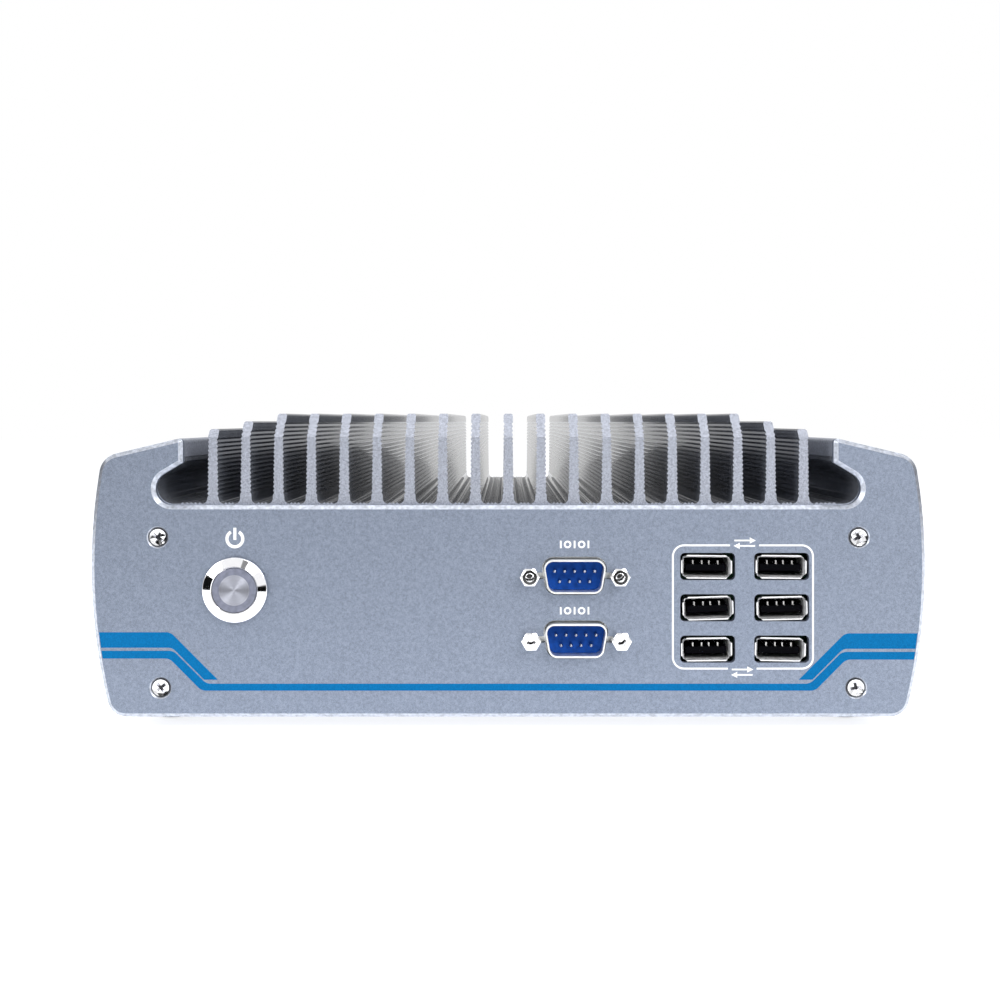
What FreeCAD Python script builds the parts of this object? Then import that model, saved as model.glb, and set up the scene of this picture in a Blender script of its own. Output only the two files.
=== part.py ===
import FreeCAD, Part
import math
import os

os.makedirs("parts", exist_ok=True)

# Fanless industrial computer in a finned aluminium case.
# Millimetres and degrees. X is to the right as seen from the front, Y runs from front to
# back, Z is up. Heights are written above the underside of the case; save() lifts every
# piece by the height of the feet, so the origin is on the table under the case's middle.

# --- Case section, the same along its whole length -------------------------------------
case_width = 232.6            # across the widest point of the barrel sides
section_length = 192.0        # cover and base, without the end panels
side_radius = 160.0           # barrel side
seam_height = 42.0            # cover meets base here, at the widest point
wall = 3.0                    # side walls and base floor
bottom_radius = 5.5           # outside corner under the side
shoulder_radius = 6.0         # outside corner of the ear
ear_drop = 6.7                # inner tip of the ear below the tops of the fins
ear_slope = 13.4              # fall of the ear's roof towards the side
ear_tip_radius = 1.2          # rounds that tip
ear_tip_inset = 25.5          # inner tip of the ear, in from the widest point
lip_slope = 31.0              # underside of the ear
channel_inset = 22.6          # axis of the round end of the outer channel, in from there
channel_radius = 4.7
channel_wall = 2.4            # metal between channel and ear chamber
seam_gap = 0.5                # shadow groove between cover and base
seam_groove = 0.7             # its depth
tongue_height = 2.4           # base tongue standing in the cover's rebate
tongue_width = 1.2
seat_clearance = 0.1          # between faces that locate each other

# --- Heat sink --------------------------------------------------------------------------
slab_under = 53.0             # underside of the fin slab
slab = 6.3                    # its thickness, up to the floor between the fins
fin_reach = 25.3              # from that floor to the tops of the fins
fin_pitch = 9.2
fin_room = 10.0               # kept from the last fin's axis to the channel's, at least
shortened_fins = 2            # fins at each side that step down
fin_step = 2.2                # height lost on each of them
fin_tip_width = 2.6
fin_root_width = 3.2
fin_root_radius = 1.5
fin_edge = 0.4                # chamfer along the fin's top
smooth_band = 2.4             # plain metal under the top, above the serrations
tooth_pitch = 1.2
tooth_depth = 0.35
floor_teeth = 3               # ridges on the floor between two fins
floor_tooth_height = 0.4
fin_cut_drop = 6.6            # fin ends are cut back obliquely over this height
fin_cut_run = 7.5             # and this length

# --- End panels and their screws --------------------------------------------------------
panel = 3.0                   # thickness
panel_drop = 0.3              # straight edge between the channels, below the fins' floor
panel_chamfer = 1.1
upper_screw_inset = (18.7, 2.9)   # screw axis: in from the side, down from the slab
lower_screw_inset = (19.5, 5.2)   # screw axis: in from the side, up from the base's floor
screw_radius = 1.45
screw_length = 10.0
screw_head_radius = 2.75
screw_head_sink = 0.15        # head below the panel's face
countersink_radius = 3.05
screw_hole_radius = 1.7
thread_clearance = 0.05
port_radius = 3.6             # screw port in the sections
port_web = 4.0

# --- Feet -------------------------------------------------------------------------------
foot_height = 4.0
foot_radius = 6.0
foot_edge = 0.8
foot_inset = (17.8, 22.0)     # axis: in from the side, in from the end of the section

# --- Power switch -----------------------------------------------------------------------
switch_at = (-75.9, 35.6)
bezel_radius = 9.05
bezel_height = 2.0
bezel_face_radius = 6.6       # the bezel's face slopes back from here
bezel_fall = 0.9              # to its rim
bezel_edge = 0.3
bezel_mouth_chamfer = 0.2
thread_radius = 8.0
switch_hole_clearance = 0.15
barrel_length = 17.0
gasket = 0.6
gasket_radius = 8.7
button_radius = 6.15
button_gap = 0.2              # visible ring between button and bezel
button_disc_radius = 4.25
button_head = 2.0
button_recess = 0.3           # button face behind the bezel's face
button_travel = 2.5
button_stop_gap = 0.3         # left under the head at full travel
stem_radius = 4.0
stem_clearance = 0.06
stem_play = 1.0               # left behind the stem at full travel
nut_across_flats = 19.0
nut_height = 3.0
contact_block_radius = 6.9
contact_block_length = 9.0
terminal = (0.8, 2.8, 6.0)    # thickness, width, length
terminal_spread = 3.6

# --- Nine-way serial ports --------------------------------------------------------------
serial_width = 18.0           # D-shaped shell, outside
serial_height = 9.4
serial_radius = 2.6
serial_draft = 10.0
shell_wall = 0.5
shell_length = 6.0            # in front of the flange
flange = (30.8, 12.5, 0.5)
jack_spacing = 25.0
jack_across_flats = 4.75
jack_length = 4.8
jack_face_radius = 2.0       # round front face left by the chamfer on the corners
jack_chamfer_slope = 35.0
jack_radius = 1.42
jack_tap_radius = 1.25
jack_hole_depth = 4.0
jack_clearance = 0.1
jack_slot = 1.8               # slot between the port's cut-out and its screws
clinch_nut = (4.8, 3.0)       # square nut on the flange: side, length
insert_recess = 5.4           # insulator face behind the shell's mouth
insert_block = (19.4, 10.0, 5.5)
pin_width = 1.0
pin_pitch = 2.77
pin_row_gap = 2.84
pin_recess = 1.0
pin_tail = 3.0
cutout_gap = 0.6
serial_column = (18.4, 18.8)  # upper and lower port
serial_rows = (39.4, 21.7)

# --- Front USB sockets on their own board ----------------------------------------------
usb_columns = (55.5, 76.1)
usb_rows = (42.0, 30.5, 19.0)
usb_cutout = (15.3, 7.6, 1.3)
usb_shell = (13.2, 5.8, 0.9)  # outside width, height, corner radius
usb_mouth = (14.2, 6.6, 1.4)  # flared front
usb_flare = 1.2
usb_corner_slit = 2.4         # cut through the flare at each corner, leaving four lips
usb_wall = 0.35
usb_recess = 0.8
usb_depth = 14.0
usb_drop = 0.2                # sockets stand this much low in their cut-outs
usb_tongue = (11.2, 1.7)
usb_tongue_drop = 0.3
usb_tongue_recess = 1.3
usb_back = 2.5
# Hand soldered, so no two sockets stand quite alike: roll in degrees, offset in X.
usb_seating = ((0.7, -0.2), (0.7, 0.0), (-1.8, 0.2), (-1.4, 0.25), (-0.8, -0.2), (1.2, -0.25))
board = 1.6                   # circuit board thickness
usb_board_margin = 9.0
spacer_radius = 2.5
usb_spacer_margin = 3.0

# --- Rear ports -------------------------------------------------------------------------
rear_serial_columns = (-39.5, -71.5)
monitor_port_x = 9.5
digital_port_x = -15.5
network_columns = (53.5, 35.5)
audio_x = 69.0
inlet_inset = 17.0            # middle of the power inlet, in from the side
inlet_height = 29.0
stack_can = (16.6, 29.0, 21.0)
stack_recess = 0.4
stack_gap = 0.3
can_wall = 0.4
stack_usb_offsets = (10.6, 3.1)
stack_lan_offset = -7.4
lan_opening = (11.8, 8.6, 14.0)
monitor_face_recess = 0.4
digital_port = (15.0, 5.6, 12.0)
digital_tongue = (10.0, 1.2)
digital_tongue_recess = 1.5
audio_block = (12.0, 24.0, 13.0)
audio_collar_radius = 4.0
audio_bore_radius = 1.8
audio_offsets = (6.2, -6.2)
inlet_flange = (19.4, 13.4, 1.5)
inlet_body = (15.4, 9.8, 12.5)    # behind the flange
inlet_cavity = (12.6, 7.6, 9.5)
inlet_pin = (1.0, 8.0)        # side, length
inlet_pin_pitch = 5.08
inlet_pin_drop = 1.7

# --- Inside -----------------------------------------------------------------------------
mainboard_side = 170.0
mainboard_gap = 2.0           # between its edge and the rear panel
mainboard_holes = (157.48, 154.94)
mainboard_rear_hole = 10.16   # from the rear edge to the nearer holes
mainboard_hole_radius = 1.6
mainboard_screw_head = 1.6
mainboard_screw_play = 1.0    # left above the screw in its spacer
mainboard_spacer = 5.0
mainboard_spacer_flats = 5.5  # hexagonal
processor_size = (30.0, 28.0, 1.4)
processor_offset = -9.0       # its middle from the main board's
pad_thickness = 0.6
spreader_side = 60.0
memory = (67.6, 30.0, 1.2)
memory_drop = 4.0
memory_socket = (74.0, 8.0, 5.2)
memory_offset = -44.0         # its middle from the main board's
drive = (69.9, 100.0, 7.0)
drive_x = -20.0

# --- Worked out from the sizes above ---------------------------------------------------
end_y = section_length / 2.0
face_y = end_y + panel
half_width = case_width / 2.0
side_centre_x = half_width - side_radius
fin_floor = slab_under + slab
fin_top = fin_floor + fin_reach
fins_per_side = int((half_width - channel_inset - fin_room) / fin_pitch)
channel_x = half_width - channel_inset
panel_top = fin_floor - panel_drop
ear_tip = (half_width - ear_tip_inset, fin_top - ear_drop)
ear_direction = (math.cos(math.radians(ear_slope)), -math.sin(math.radians(ear_slope)))
upper_screw = (half_width - upper_screw_inset[0], slab_under - upper_screw_inset[1])
lower_screw = (half_width - lower_screw_inset[0], wall + lower_screw_inset[1])
inlet_at = (inlet_inset - half_width, inlet_height)
mainboard_top = slab_under - mainboard_spacer
mainboard_under = mainboard_top - board
mainboard_y = end_y - mainboard_gap - mainboard_side / 2.0


def vector(x, z, y=0.0):
    return FreeCAD.Vector(x, y, z)


# --- Section paths: a path is a list of segments, two points for a line, three for an arc


def edge(segment):
    points = [vector(x, z) for x, z in segment]
    if len(points) == 3:
        return Part.Arc(*points).toShape()
    return Part.LineSegment(*points).toShape()


def mirrored(path):
    return [tuple((-x, z) for x, z in reversed(segment)) for segment in reversed(path)]


def lines(points):
    return list(zip(points[:-1], points[1:]))


def face_of(path):
    return Part.Face(Part.Wire([edge(segment) for segment in path]))


def extruded(path, length, start):
    solid = face_of(path).extrude(FreeCAD.Vector(0, length, 0))
    solid.translate(FreeCAD.Vector(0, start, 0))
    return solid


# --- Plain shapes, all lying along Y -----------------------------------------------------


def box(width, height, depth, y=0.0, x=0.0, z=0.0):
    corner = FreeCAD.Vector(x - width / 2.0, y, z - height / 2.0)
    return Part.makeBox(width, depth, height, corner)


def rod(radius, length, y=0.0, x=0.0, z=0.0):
    return Part.makeCylinder(radius, length, vector(x, z, y), FreeCAD.Vector(0, 1, 0))


def prism(sides, across_flats, length, y=0.0, x=0.0, z=0.0):
    """Regular prism standing on a flat."""
    half_turn = math.pi / sides
    radius = across_flats / 2.0 / math.cos(half_turn)
    corners = []
    for step in range(sides + 1):
        turn = (2 * step + 1) * half_turn + math.pi / 2.0
        corners.append(vector(x + radius * math.cos(turn), z + radius * math.sin(turn), y))
    return Part.Face(Part.makePolygon(corners)).extrude(FreeCAD.Vector(0, length, 0))


def along_y(solid):
    """Edges that run straight from front to back."""
    found = []
    for item in solid.Edges:
        start = item.Vertexes[0].Point
        end = item.Vertexes[-1].Point
        run = end - start
        if abs(run.y) > 1e-6 and abs(run.x) < 1e-6 and abs(run.z) < 1e-6:
            found.append(item)
    return found


def rounded_box(width, height, radius, depth, y=0.0):
    solid = box(width, height, depth, y)
    return solid.makeFillet(radius, along_y(solid))


def d_shape(width, height, radius, depth, y=0.0):
    """Prism with the D outline of a nine-way port, its wide side up."""
    half = width / 2.0
    low = half - height * math.tan(math.radians(serial_draft))
    up = height / 2.0
    corners = [(-half, up), (half, up), (low, -up), (-low, -up), (-half, up)]
    outline = Part.makePolygon([vector(x, z, y) for x, z in corners])
    solid = Part.Face(outline).extrude(FreeCAD.Vector(0, depth, 0))
    return solid.makeFillet(radius, along_y(solid))


def fused(shapes):
    return shapes[0].fuse(shapes[1:]).removeSplitter()


def placed(shape, x, z, rear=False, roll=0.0):
    """A connector drawn with the panel's face at Y = 0, moved to the front or rear panel."""
    copy = shape.copy()
    if roll:
        copy.rotate(FreeCAD.Vector(0, 0, 0), FreeCAD.Vector(0, 1, 0), roll)
    if rear:
        copy.rotate(FreeCAD.Vector(0, 0, 0), FreeCAD.Vector(0, 0, 1), 180.0)
    copy.translate(vector(x, z, face_y if rear else -face_y))
    return copy


def save(name, *shapes):
    """Write one node; like pieces that share a node stay separate solids."""
    shape = shapes[0] if len(shapes) == 1 else Part.makeCompound(list(shapes))
    shape = shape.copy()
    shape.translate(vector(0, foot_height))
    shape.exportStep("parts/" + name + ".step")


# --- Case outline -------------------------------------------------------------------------


def side_x(height, inset):
    """Half width of the barrel at a height, measured inset from its outside."""
    return side_centre_x + math.sqrt((side_radius - inset) ** 2 - (height - seam_height) ** 2)


def corner_to_side(point, direction, inward, radius, inset):
    """Round the corner between a straight face and the barrel side.

    The face passes through point; inward points into the metal. Returns the arc's end on
    the face, its middle and its end on the side.
    """
    radius = radius - inset
    base_x = point[0] + inward[0] * (inset + radius) - side_centre_x
    base_z = point[1] + inward[1] * (inset + radius) - seam_height
    reach = side_radius - inset - radius
    along = base_x * direction[0] + base_z * direction[1]
    across = base_x ** 2 + base_z ** 2 - reach ** 2
    run = -along + math.sqrt(along ** 2 - across)
    centre_x = base_x + run * direction[0]
    centre_z = base_z + run * direction[1]
    outward = (centre_x / reach, centre_z / reach)
    centre = (centre_x + side_centre_x, centre_z + seam_height)
    middle = (outward[0] - inward[0], outward[1] - inward[1])
    size = math.hypot(*middle)
    return (
        (centre[0] - inward[0] * radius, centre[1] - inward[1] * radius),
        (centre[0] + middle[0] * radius / size, centre[1] + middle[1] * radius / size),
        (centre[0] + outward[0] * radius, centre[1] + outward[1] * radius),
    )


def bottom_corner(inset):
    return corner_to_side((0.0, 0.0), (1.0, 0.0), (0.0, 1.0), bottom_radius, inset)


def shoulder(inset):
    inward = (ear_direction[1], -ear_direction[0])
    return corner_to_side(ear_tip, ear_direction, inward, shoulder_radius, inset)


def side_arc(low, high, inset):
    """Segment of the barrel side between two points on it, upwards."""
    height = (low[1] + high[1]) / 2.0
    return (low, (side_x(height, inset), height), high)


def ear_path(floor):
    """From the channel floor round the channel, over the ear and onto the barrel side."""
    centre = (channel_x, floor + channel_radius)
    slope = math.radians(lip_slope)
    high = (centre[0] + channel_radius * math.sin(slope),
            centre[1] + channel_radius * math.cos(slope))
    middle_turn = (slope - math.pi / 2.0) / 2.0
    middle = (centre[0] + channel_radius * math.cos(middle_turn),
              centre[1] + channel_radius * math.sin(middle_turn))
    lip = (ear_tip[0], high[1] + (high[0] - ear_tip[0]) * math.tan(slope))
    half_angle = math.radians(90.0 - ear_slope) / 2.0
    run = ear_tip_radius / math.tan(half_angle)
    before = (ear_tip[0], ear_tip[1] - run)
    after = (ear_tip[0] + run * ear_direction[0], ear_tip[1] + run * ear_direction[1])
    gap = ear_tip_radius / math.sin(half_angle) - ear_tip_radius
    tip = (ear_tip[0] + gap * math.sin(half_angle), ear_tip[1] - gap * math.cos(half_angle))
    on_roof, on_corner, on_side = shoulder(0.0)
    return [
        ((channel_x, floor), middle, high),
        (high, lip),
        (lip, before),
        (before, tip, after),
        (after, on_roof),
        (on_roof, on_corner, on_side),
    ]


# --- Cover: fins, slab, ears and upper side walls, one extrusion --------------------------


def fin_height(index):
    """Top of the fin at a place counted from the middle."""
    steps = max(0, index - (fins_per_side - shortened_fins))
    return fin_top - fin_step * steps


def half_fin_width(height):
    share = (fin_top - height) / (fin_top - fin_floor)
    return (fin_tip_width + (fin_root_width - fin_tip_width) * share) / 2.0


def flank(index, outward):
    """One side of a fin from its top edge down to where the root radius starts."""
    centre = index * fin_pitch
    top = fin_height(index)
    points = [(centre + outward * (half_fin_width(top) - fin_edge), top)]
    points.append((centre + outward * half_fin_width(top), top - fin_edge))
    start = top - smooth_band
    end = fin_floor + fin_root_radius
    teeth = int((start - end) / tooth_pitch)
    for tooth in range(teeth):
        crest = start - tooth * tooth_pitch
        valley = crest - tooth_pitch / 2.0
        points.append((centre + outward * half_fin_width(crest), crest))
        points.append((centre + outward * (half_fin_width(valley) - tooth_depth), valley))
    points.append((centre + outward * half_fin_width(end), start - teeth * tooth_pitch))
    points.append((centre + outward * half_fin_width(fin_floor), end))
    return points


def root_arc(index, outward):
    """Root radius, from the fin to the floor."""
    x = index * fin_pitch + outward * half_fin_width(fin_floor)
    bend = fin_root_radius * (1.0 - math.sqrt(0.5))
    return (
        (x, fin_floor + fin_root_radius),
        (x + outward * bend, fin_floor + bend),
        (x + outward * fin_root_radius, fin_floor),
    )


def ridges(start, count, pitch):
    """Small peaks along the floor, from start outwards."""
    points = []
    for ridge in range(count):
        low = start + ridge * pitch
        points.append((low, fin_floor))
        points.append((low + pitch / 2.0, fin_floor + floor_tooth_height))
    points.append((start + count * pitch, fin_floor))
    return points


def fins_path():
    """From the top of the middle fin out to the axis of the round channel."""
    path = []
    at = (0.0, fin_top)
    for index in range(fins_per_side + 1):
        down = flank(index, 1)
        root = root_arc(index, 1)
        path += lines([at] + down) + [root]
        if index == fins_per_side:
            count = int((channel_x - root[2][0]) / tooth_pitch) - 1
            floor = ridges(root[2][0], count, tooth_pitch)
            path += lines(floor + [(channel_x, fin_floor)])
            break
        next_root = root_arc(index + 1, -1)
        width = next_root[2][0] - root[2][0]
        path += lines(ridges(root[2][0], floor_teeth, width / floor_teeth))
        path.append(tuple(reversed(next_root)))
        up = list(reversed(flank(index + 1, -1)))
        path += lines(up)
        at = up[-1]
    return path


def cover_path():
    """Right half of the cover's section, outside first, ending in its middle."""
    low = seam_height + seam_gap / 2.0
    outer = (side_x(low, seam_groove), low)
    groove_top = low + seam_groove
    rebate_x = side_x(seam_height, wall) + tongue_width + seat_clearance
    rebate_top = seam_height + tongue_height + seat_clearance
    inner = (side_x(rebate_top, wall), rebate_top)
    upper = (side_x(slab_under, wall), slab_under)
    ear = ear_path(fin_floor)
    start = (side_x(groove_top, 0.0), groove_top)
    return fins_path() + ear + [
        tuple(reversed(side_arc(start, ear[-1][2], 0.0))),
        (start, outer),
        (outer, (rebate_x, low)),
        ((rebate_x, low), (rebate_x, rebate_top)),
        ((rebate_x, rebate_top), inner),
        side_arc(inner, upper, wall),
        (upper, (0.0, slab_under)),
    ]


def ear_chamber():
    """Closed hollow that runs the length of each ear."""
    low = slab_under + wall
    x = channel_x + channel_radius + channel_wall
    top = fin_floor + channel_radius
    slope = math.radians(lip_slope)
    reach = channel_radius + channel_wall
    bend = (channel_x + reach * math.sin(slope), top + reach * math.cos(slope))
    on_roof, on_corner, on_side = shoulder(wall)
    roof_run = (bend[0] - on_roof[0]) / ear_direction[0]
    roof = (bend[0], on_roof[1] + roof_run * ear_direction[1])
    outer = (side_x(low, wall), low)
    return [
        ((x, low), (x, top)),
        ((x, top), bend),
        (bend, roof),
        (roof, on_roof),
        (on_roof, on_corner, on_side),
        tuple(reversed(side_arc(outer, on_side, wall))),
        (outer, (x, low)),
    ]


def fin_end_cut():
    """Wedge above the oblique plane across the front ends of the fins."""
    over = fin_top + fin_cut_drop
    under = fin_top - 2.0 * fin_cut_drop
    ahead = -end_y - fin_cut_run
    points = [
        FreeCAD.Vector(-half_width, ahead, under),
        FreeCAD.Vector(-half_width, -end_y + 2.0 * fin_cut_run, over),
        FreeCAD.Vector(-half_width, ahead, over),
    ]
    wedge = Part.Face(Part.makePolygon(points + points[:1]))
    return wedge.extrude(FreeCAD.Vector(case_width, 0, 0))


def heat_sink_cover():
    right = cover_path()
    cover = extruded(right + mirrored(right), section_length, -end_y)
    chamber = ear_chamber()
    ports = []
    cuts = []
    for side in (-1, 1):
        path = chamber if side > 0 else mirrored(chamber)
        cuts.append(extruded(path, section_length, -end_y))
        x = side * upper_screw[0]
        ports.append(rod(port_radius, section_length, -end_y, x, upper_screw[1]))
        hole = screw_radius + thread_clearance
        cuts.append(rod(hole, section_length, -end_y, x, upper_screw[1]))
    front_cut = fin_end_cut()
    rear_cut = front_cut.mirror(FreeCAD.Vector(0, 0, 0), FreeCAD.Vector(0, 1, 0))
    return cover.fuse(ports).cut(cuts + [front_cut, rear_cut])


# --- Base: floor and lower side walls, the second extrusion -------------------------------


def base_path():
    """Right half of the base's section, underside first, ending in its middle."""
    on_floor, on_corner, on_side = bottom_corner(0.0)
    in_floor, in_corner, in_side = bottom_corner(wall)
    top = seam_height - seam_gap / 2.0
    groove_low = top - seam_groove
    side_top = (side_x(groove_low, 0.0), groove_low)
    outer = (side_x(top, seam_groove), top)
    tongue_in = side_x(seam_height, wall)
    tongue_top = seam_height + tongue_height
    step = (tongue_in + tongue_width, top)
    inner = (side_x(top, wall), top)
    return [
        ((0.0, 0.0), on_floor),
        (on_floor, on_corner, on_side),
        side_arc(on_side, side_top, 0.0),
        (side_top, outer),
        (outer, step),
        (step, (step[0], tongue_top)),
        ((step[0], tongue_top), (tongue_in, tongue_top)),
        ((tongue_in, tongue_top), inner),
        tuple(reversed(side_arc(in_side, inner, wall))),
        (in_side, in_corner, in_floor),
        (in_floor, (0.0, wall)),
    ]


def base_chassis():
    right = base_path()
    base = extruded(right + mirrored(right), section_length, -end_y)
    added = []
    holes = []
    for side in (-1, 1):
        x = side * lower_screw[0]
        added.append(rod(port_radius, section_length, -end_y, x, lower_screw[1]))
        web = lower_screw[1] - wall / 2.0
        middle = wall / 2.0 + web / 2.0
        added.append(box(port_web, web, section_length, -end_y, x, middle))
        hole = screw_radius + thread_clearance
        holes.append(rod(hole, section_length, -end_y, x, lower_screw[1]))
    return base.fuse(added).cut(holes).removeSplitter()


# --- End panels ---------------------------------------------------------------------------


def panel_plate():
    """Blank panel with its face at Y = 0 and its edges chamfered all round."""
    on_floor, on_corner, on_side = bottom_corner(0.0)
    ear = ear_path(panel_top)
    right = [((0.0, panel_top), (channel_x, panel_top))] + ear + [
        tuple(reversed(side_arc(on_side, ear[-1][2], 0.0))),
        (on_side, on_corner, on_floor),
        (on_floor, (0.0, 0.0)),
    ]
    plate = extruded(right + mirrored(right), panel, 0.0).removeSplitter()
    rim = [item for item in plate.Edges if item.BoundBox.YMax < 1e-6]
    return plate.makeChamfer(panel_chamfer, rim)


def screw_places():
    """Axes of the four panel screws."""
    return [(side * x, z) for x, z in (upper_screw, lower_screw) for side in (-1, 1)]


def countersunk_hole(x, z):
    hole = rod(screw_hole_radius, panel, 0.0, x, z)
    depth = countersink_radius - screw_hole_radius
    cone = Part.makeCone(countersink_radius, screw_hole_radius, depth,
                         vector(x, z), FreeCAD.Vector(0, 1, 0))
    return hole.fuse(cone)


def serial_cutout():
    """Opening for one port: its D outline, and a slot out to the two screws."""
    gap = 2.0 * cutout_gap
    opening = d_shape(serial_width + gap, serial_height + gap, serial_radius + cutout_gap, panel)
    slot = box(jack_spacing, jack_slot, panel)
    hole = jack_radius + jack_clearance
    holes = [rod(hole, panel, 0.0, side * jack_spacing / 2.0) for side in (-1, 1)]
    return fused([opening, slot] + holes)


def front_panel():
    width, height, radius = usb_cutout
    cuts = [countersunk_hole(x, z) for x, z in screw_places()]
    cuts.append(rod(thread_radius + switch_hole_clearance, panel, 0.0, *switch_at))
    for x, z in zip(serial_column, serial_rows):
        cuts.append(serial_cutout().translated(vector(x, z)))
    for x in usb_columns:
        for z in usb_rows:
            cuts.append(rounded_box(width, height, radius, panel).translated(vector(x, z)))
    return panel_plate().cut(cuts)


def rear_panel():
    """Drawn as the front panel is, then turned to the back, so X is reversed here."""
    cuts = [countersunk_hole(x, z) for x, z in screw_places()]
    for x in rear_serial_columns:
        for z in serial_rows:
            cuts.append(serial_cutout().translated(vector(-x, z)))
    cuts.append(serial_cutout().translated(vector(-monitor_port_x, serial_rows[0])))
    width, height, _ = digital_port
    digital = box(width + stack_gap * 2.0, height + stack_gap * 2.0, panel)
    cuts.append(digital.translated(vector(-digital_port_x, serial_rows[0])))
    for x in network_columns:
        stack = box(stack_can[0] + stack_gap * 2.0, stack_can[1] + stack_gap * 2.0, panel)
        cuts.append(stack.translated(vector(-x, stack_middle())))
    for offset in audio_offsets:
        z = audio_middle() + offset
        cuts.append(rod(audio_collar_radius + stack_gap, panel, 0.0, -audio_x, z))
    width, height, _ = inlet_body
    inlet = box(width + seat_clearance * 2.0, height + seat_clearance * 2.0, panel)
    cuts.append(inlet.translated(vector(-inlet_at[0], inlet_at[1])))
    return panel_plate().cut(cuts)


def panel_screw():
    """Countersunk screw, head first."""
    depth = screw_head_radius - screw_radius
    head = Part.makeCone(screw_head_radius, screw_radius, depth,
                         vector(0, 0, screw_head_sink), FreeCAD.Vector(0, 1, 0))
    shank = rod(screw_radius, screw_length - depth, screw_head_sink + depth)
    return fused([head, shank])


def foot(x, y):
    """Rubber foot, its widest face against the base."""
    low_radius = foot_radius - foot_edge
    rim = Part.makeCone(low_radius, foot_radius, foot_edge)
    drum = Part.makeCylinder(foot_radius, foot_height - foot_edge, FreeCAD.Vector(0, 0, foot_edge))
    return fused([rim, drum]).translated(FreeCAD.Vector(x, y, -foot_height))


# --- Power switch ---------------------------------------------------------------------------
# Along Y: bezel face, gasket, panel, nut, contact block. The button slides in the barrel.

bezel_face = -gasket - bezel_height
button_face = bezel_face + button_recess
button_back = button_face + button_head
mouth_floor = button_back + button_travel + button_stop_gap
barrel_end = barrel_length - gasket


def switch_bezel():
    slope_end = bezel_face + bezel_fall
    slope = Part.makeCone(bezel_face_radius, bezel_radius, bezel_fall,
                          vector(0, 0, bezel_face), FreeCAD.Vector(0, 1, 0))
    flange_disc = slope.fuse(rod(bezel_radius, bezel_height - bezel_fall, slope_end))
    rim = [item for item in flange_disc.Edges
           if abs(item.BoundBox.YMin - slope_end) + abs(item.BoundBox.YMax - slope_end) < 1e-5]
    flange_disc = flange_disc.makeFillet(bezel_edge, rim)
    barrel = rod(thread_radius, barrel_end - bezel_face - bezel_height, -gasket)
    mouth_radius = button_radius + button_gap
    mouth = rod(mouth_radius, mouth_floor - bezel_face, bezel_face)
    wide = mouth_radius + bezel_mouth_chamfer
    lead_in = Part.makeCone(wide, mouth_radius, bezel_mouth_chamfer,
                            vector(0, 0, bezel_face), FreeCAD.Vector(0, 1, 0))
    guide = rod(stem_radius + stem_clearance, barrel_end - mouth_floor, mouth_floor)
    return fused([flange_disc, barrel]).cut([mouth, lead_in, guide])


def switch_button():
    """Metal disc and stem in one, with a step that carries the light ring."""
    disc = rod(button_disc_radius, button_head, button_face)
    stem = rod(stem_radius, barrel_end - button_back - button_travel - stem_play, button_back)
    return fused([disc, stem])


def switch_light_ring():
    ring = rod(button_radius, button_head, button_face)
    return ring.cut(rod(button_disc_radius, button_head, button_face))


def switch_gasket():
    return rod(gasket_radius, gasket, -gasket).cut(rod(thread_radius, gasket, -gasket))


def switch_nut():
    hole = rod(thread_radius + thread_clearance, nut_height, panel)
    return prism(6, nut_across_flats, nut_height, panel).cut(hole)


def switch_contact_block():
    block = rod(contact_block_radius, contact_block_length, barrel_end)
    thickness, width, length = terminal
    end = barrel_end + contact_block_length
    tabs = [box(thickness, width, length, end, side * terminal_spread) for side in (-1, 1)]
    return fused([block] + tabs)


# --- Nine-way ports -------------------------------------------------------------------------


def serial_shell(offsets):
    """Steel front shell; one flange carries a D tube at each height offset."""
    width, height, thick = flange
    reach = max(offsets) - min(offsets)
    middle = (max(offsets) + min(offsets)) / 2.0
    solids = [box(width, height + reach, thick, panel, 0.0, middle)]
    holes = []
    for offset in offsets:
        up = vector(0, offset)
        tube = d_shape(serial_width, serial_height, serial_radius, shell_length, panel - shell_length)
        solids.append(tube.translated(up))
        inside = d_shape(serial_width - 2.0 * shell_wall, serial_height - 2.0 * shell_wall,
                         serial_radius - shell_wall, shell_length + thick, panel - shell_length)
        holes.append(inside.translated(up))
        for side in (-1, 1):
            x = side * jack_spacing / 2.0
            nut, length = clinch_nut
            solids.append(box(nut, nut, length, panel + thick, x, offset))
            holes.append(rod(jack_radius + jack_clearance, length + thick, panel, x, offset))
    return fused(solids).cut(holes)


def serial_insert(offsets, recess=insert_recess):
    """Plastic insulator: a face inside each D tube and a block behind the flange."""
    width, height, depth = insert_block
    reach = max(offsets) - min(offsets)
    middle = (max(offsets) + min(offsets)) / 2.0
    back = panel + flange[2]
    inset = 2.0 * (shell_wall + seat_clearance)
    solids = [box(width, height + reach, depth, back, 0.0, middle)]
    start = panel - shell_length + recess
    for offset in offsets:
        nose = d_shape(serial_width - inset, serial_height - inset,
                       serial_radius - inset / 2.0, back - start, start)
        solids.append(nose.translated(vector(0, offset)))
    return fused(solids)


def serial_pins(offset=0.0):
    """Five pins above four, pressed through the insulator; eight flats stand for round."""
    pins = []
    start = panel - shell_length + pin_recess
    length = panel + flange[2] + insert_block[2] + pin_tail - start
    for row, count in ((1, 5), (-1, 4)):
        for index in range(count):
            x = (index - (count - 1) / 2.0) * pin_pitch
            z = offset + row * pin_row_gap / 2.0
            pins.append(prism(8, pin_width, length, start, x, z))
    return pins


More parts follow.
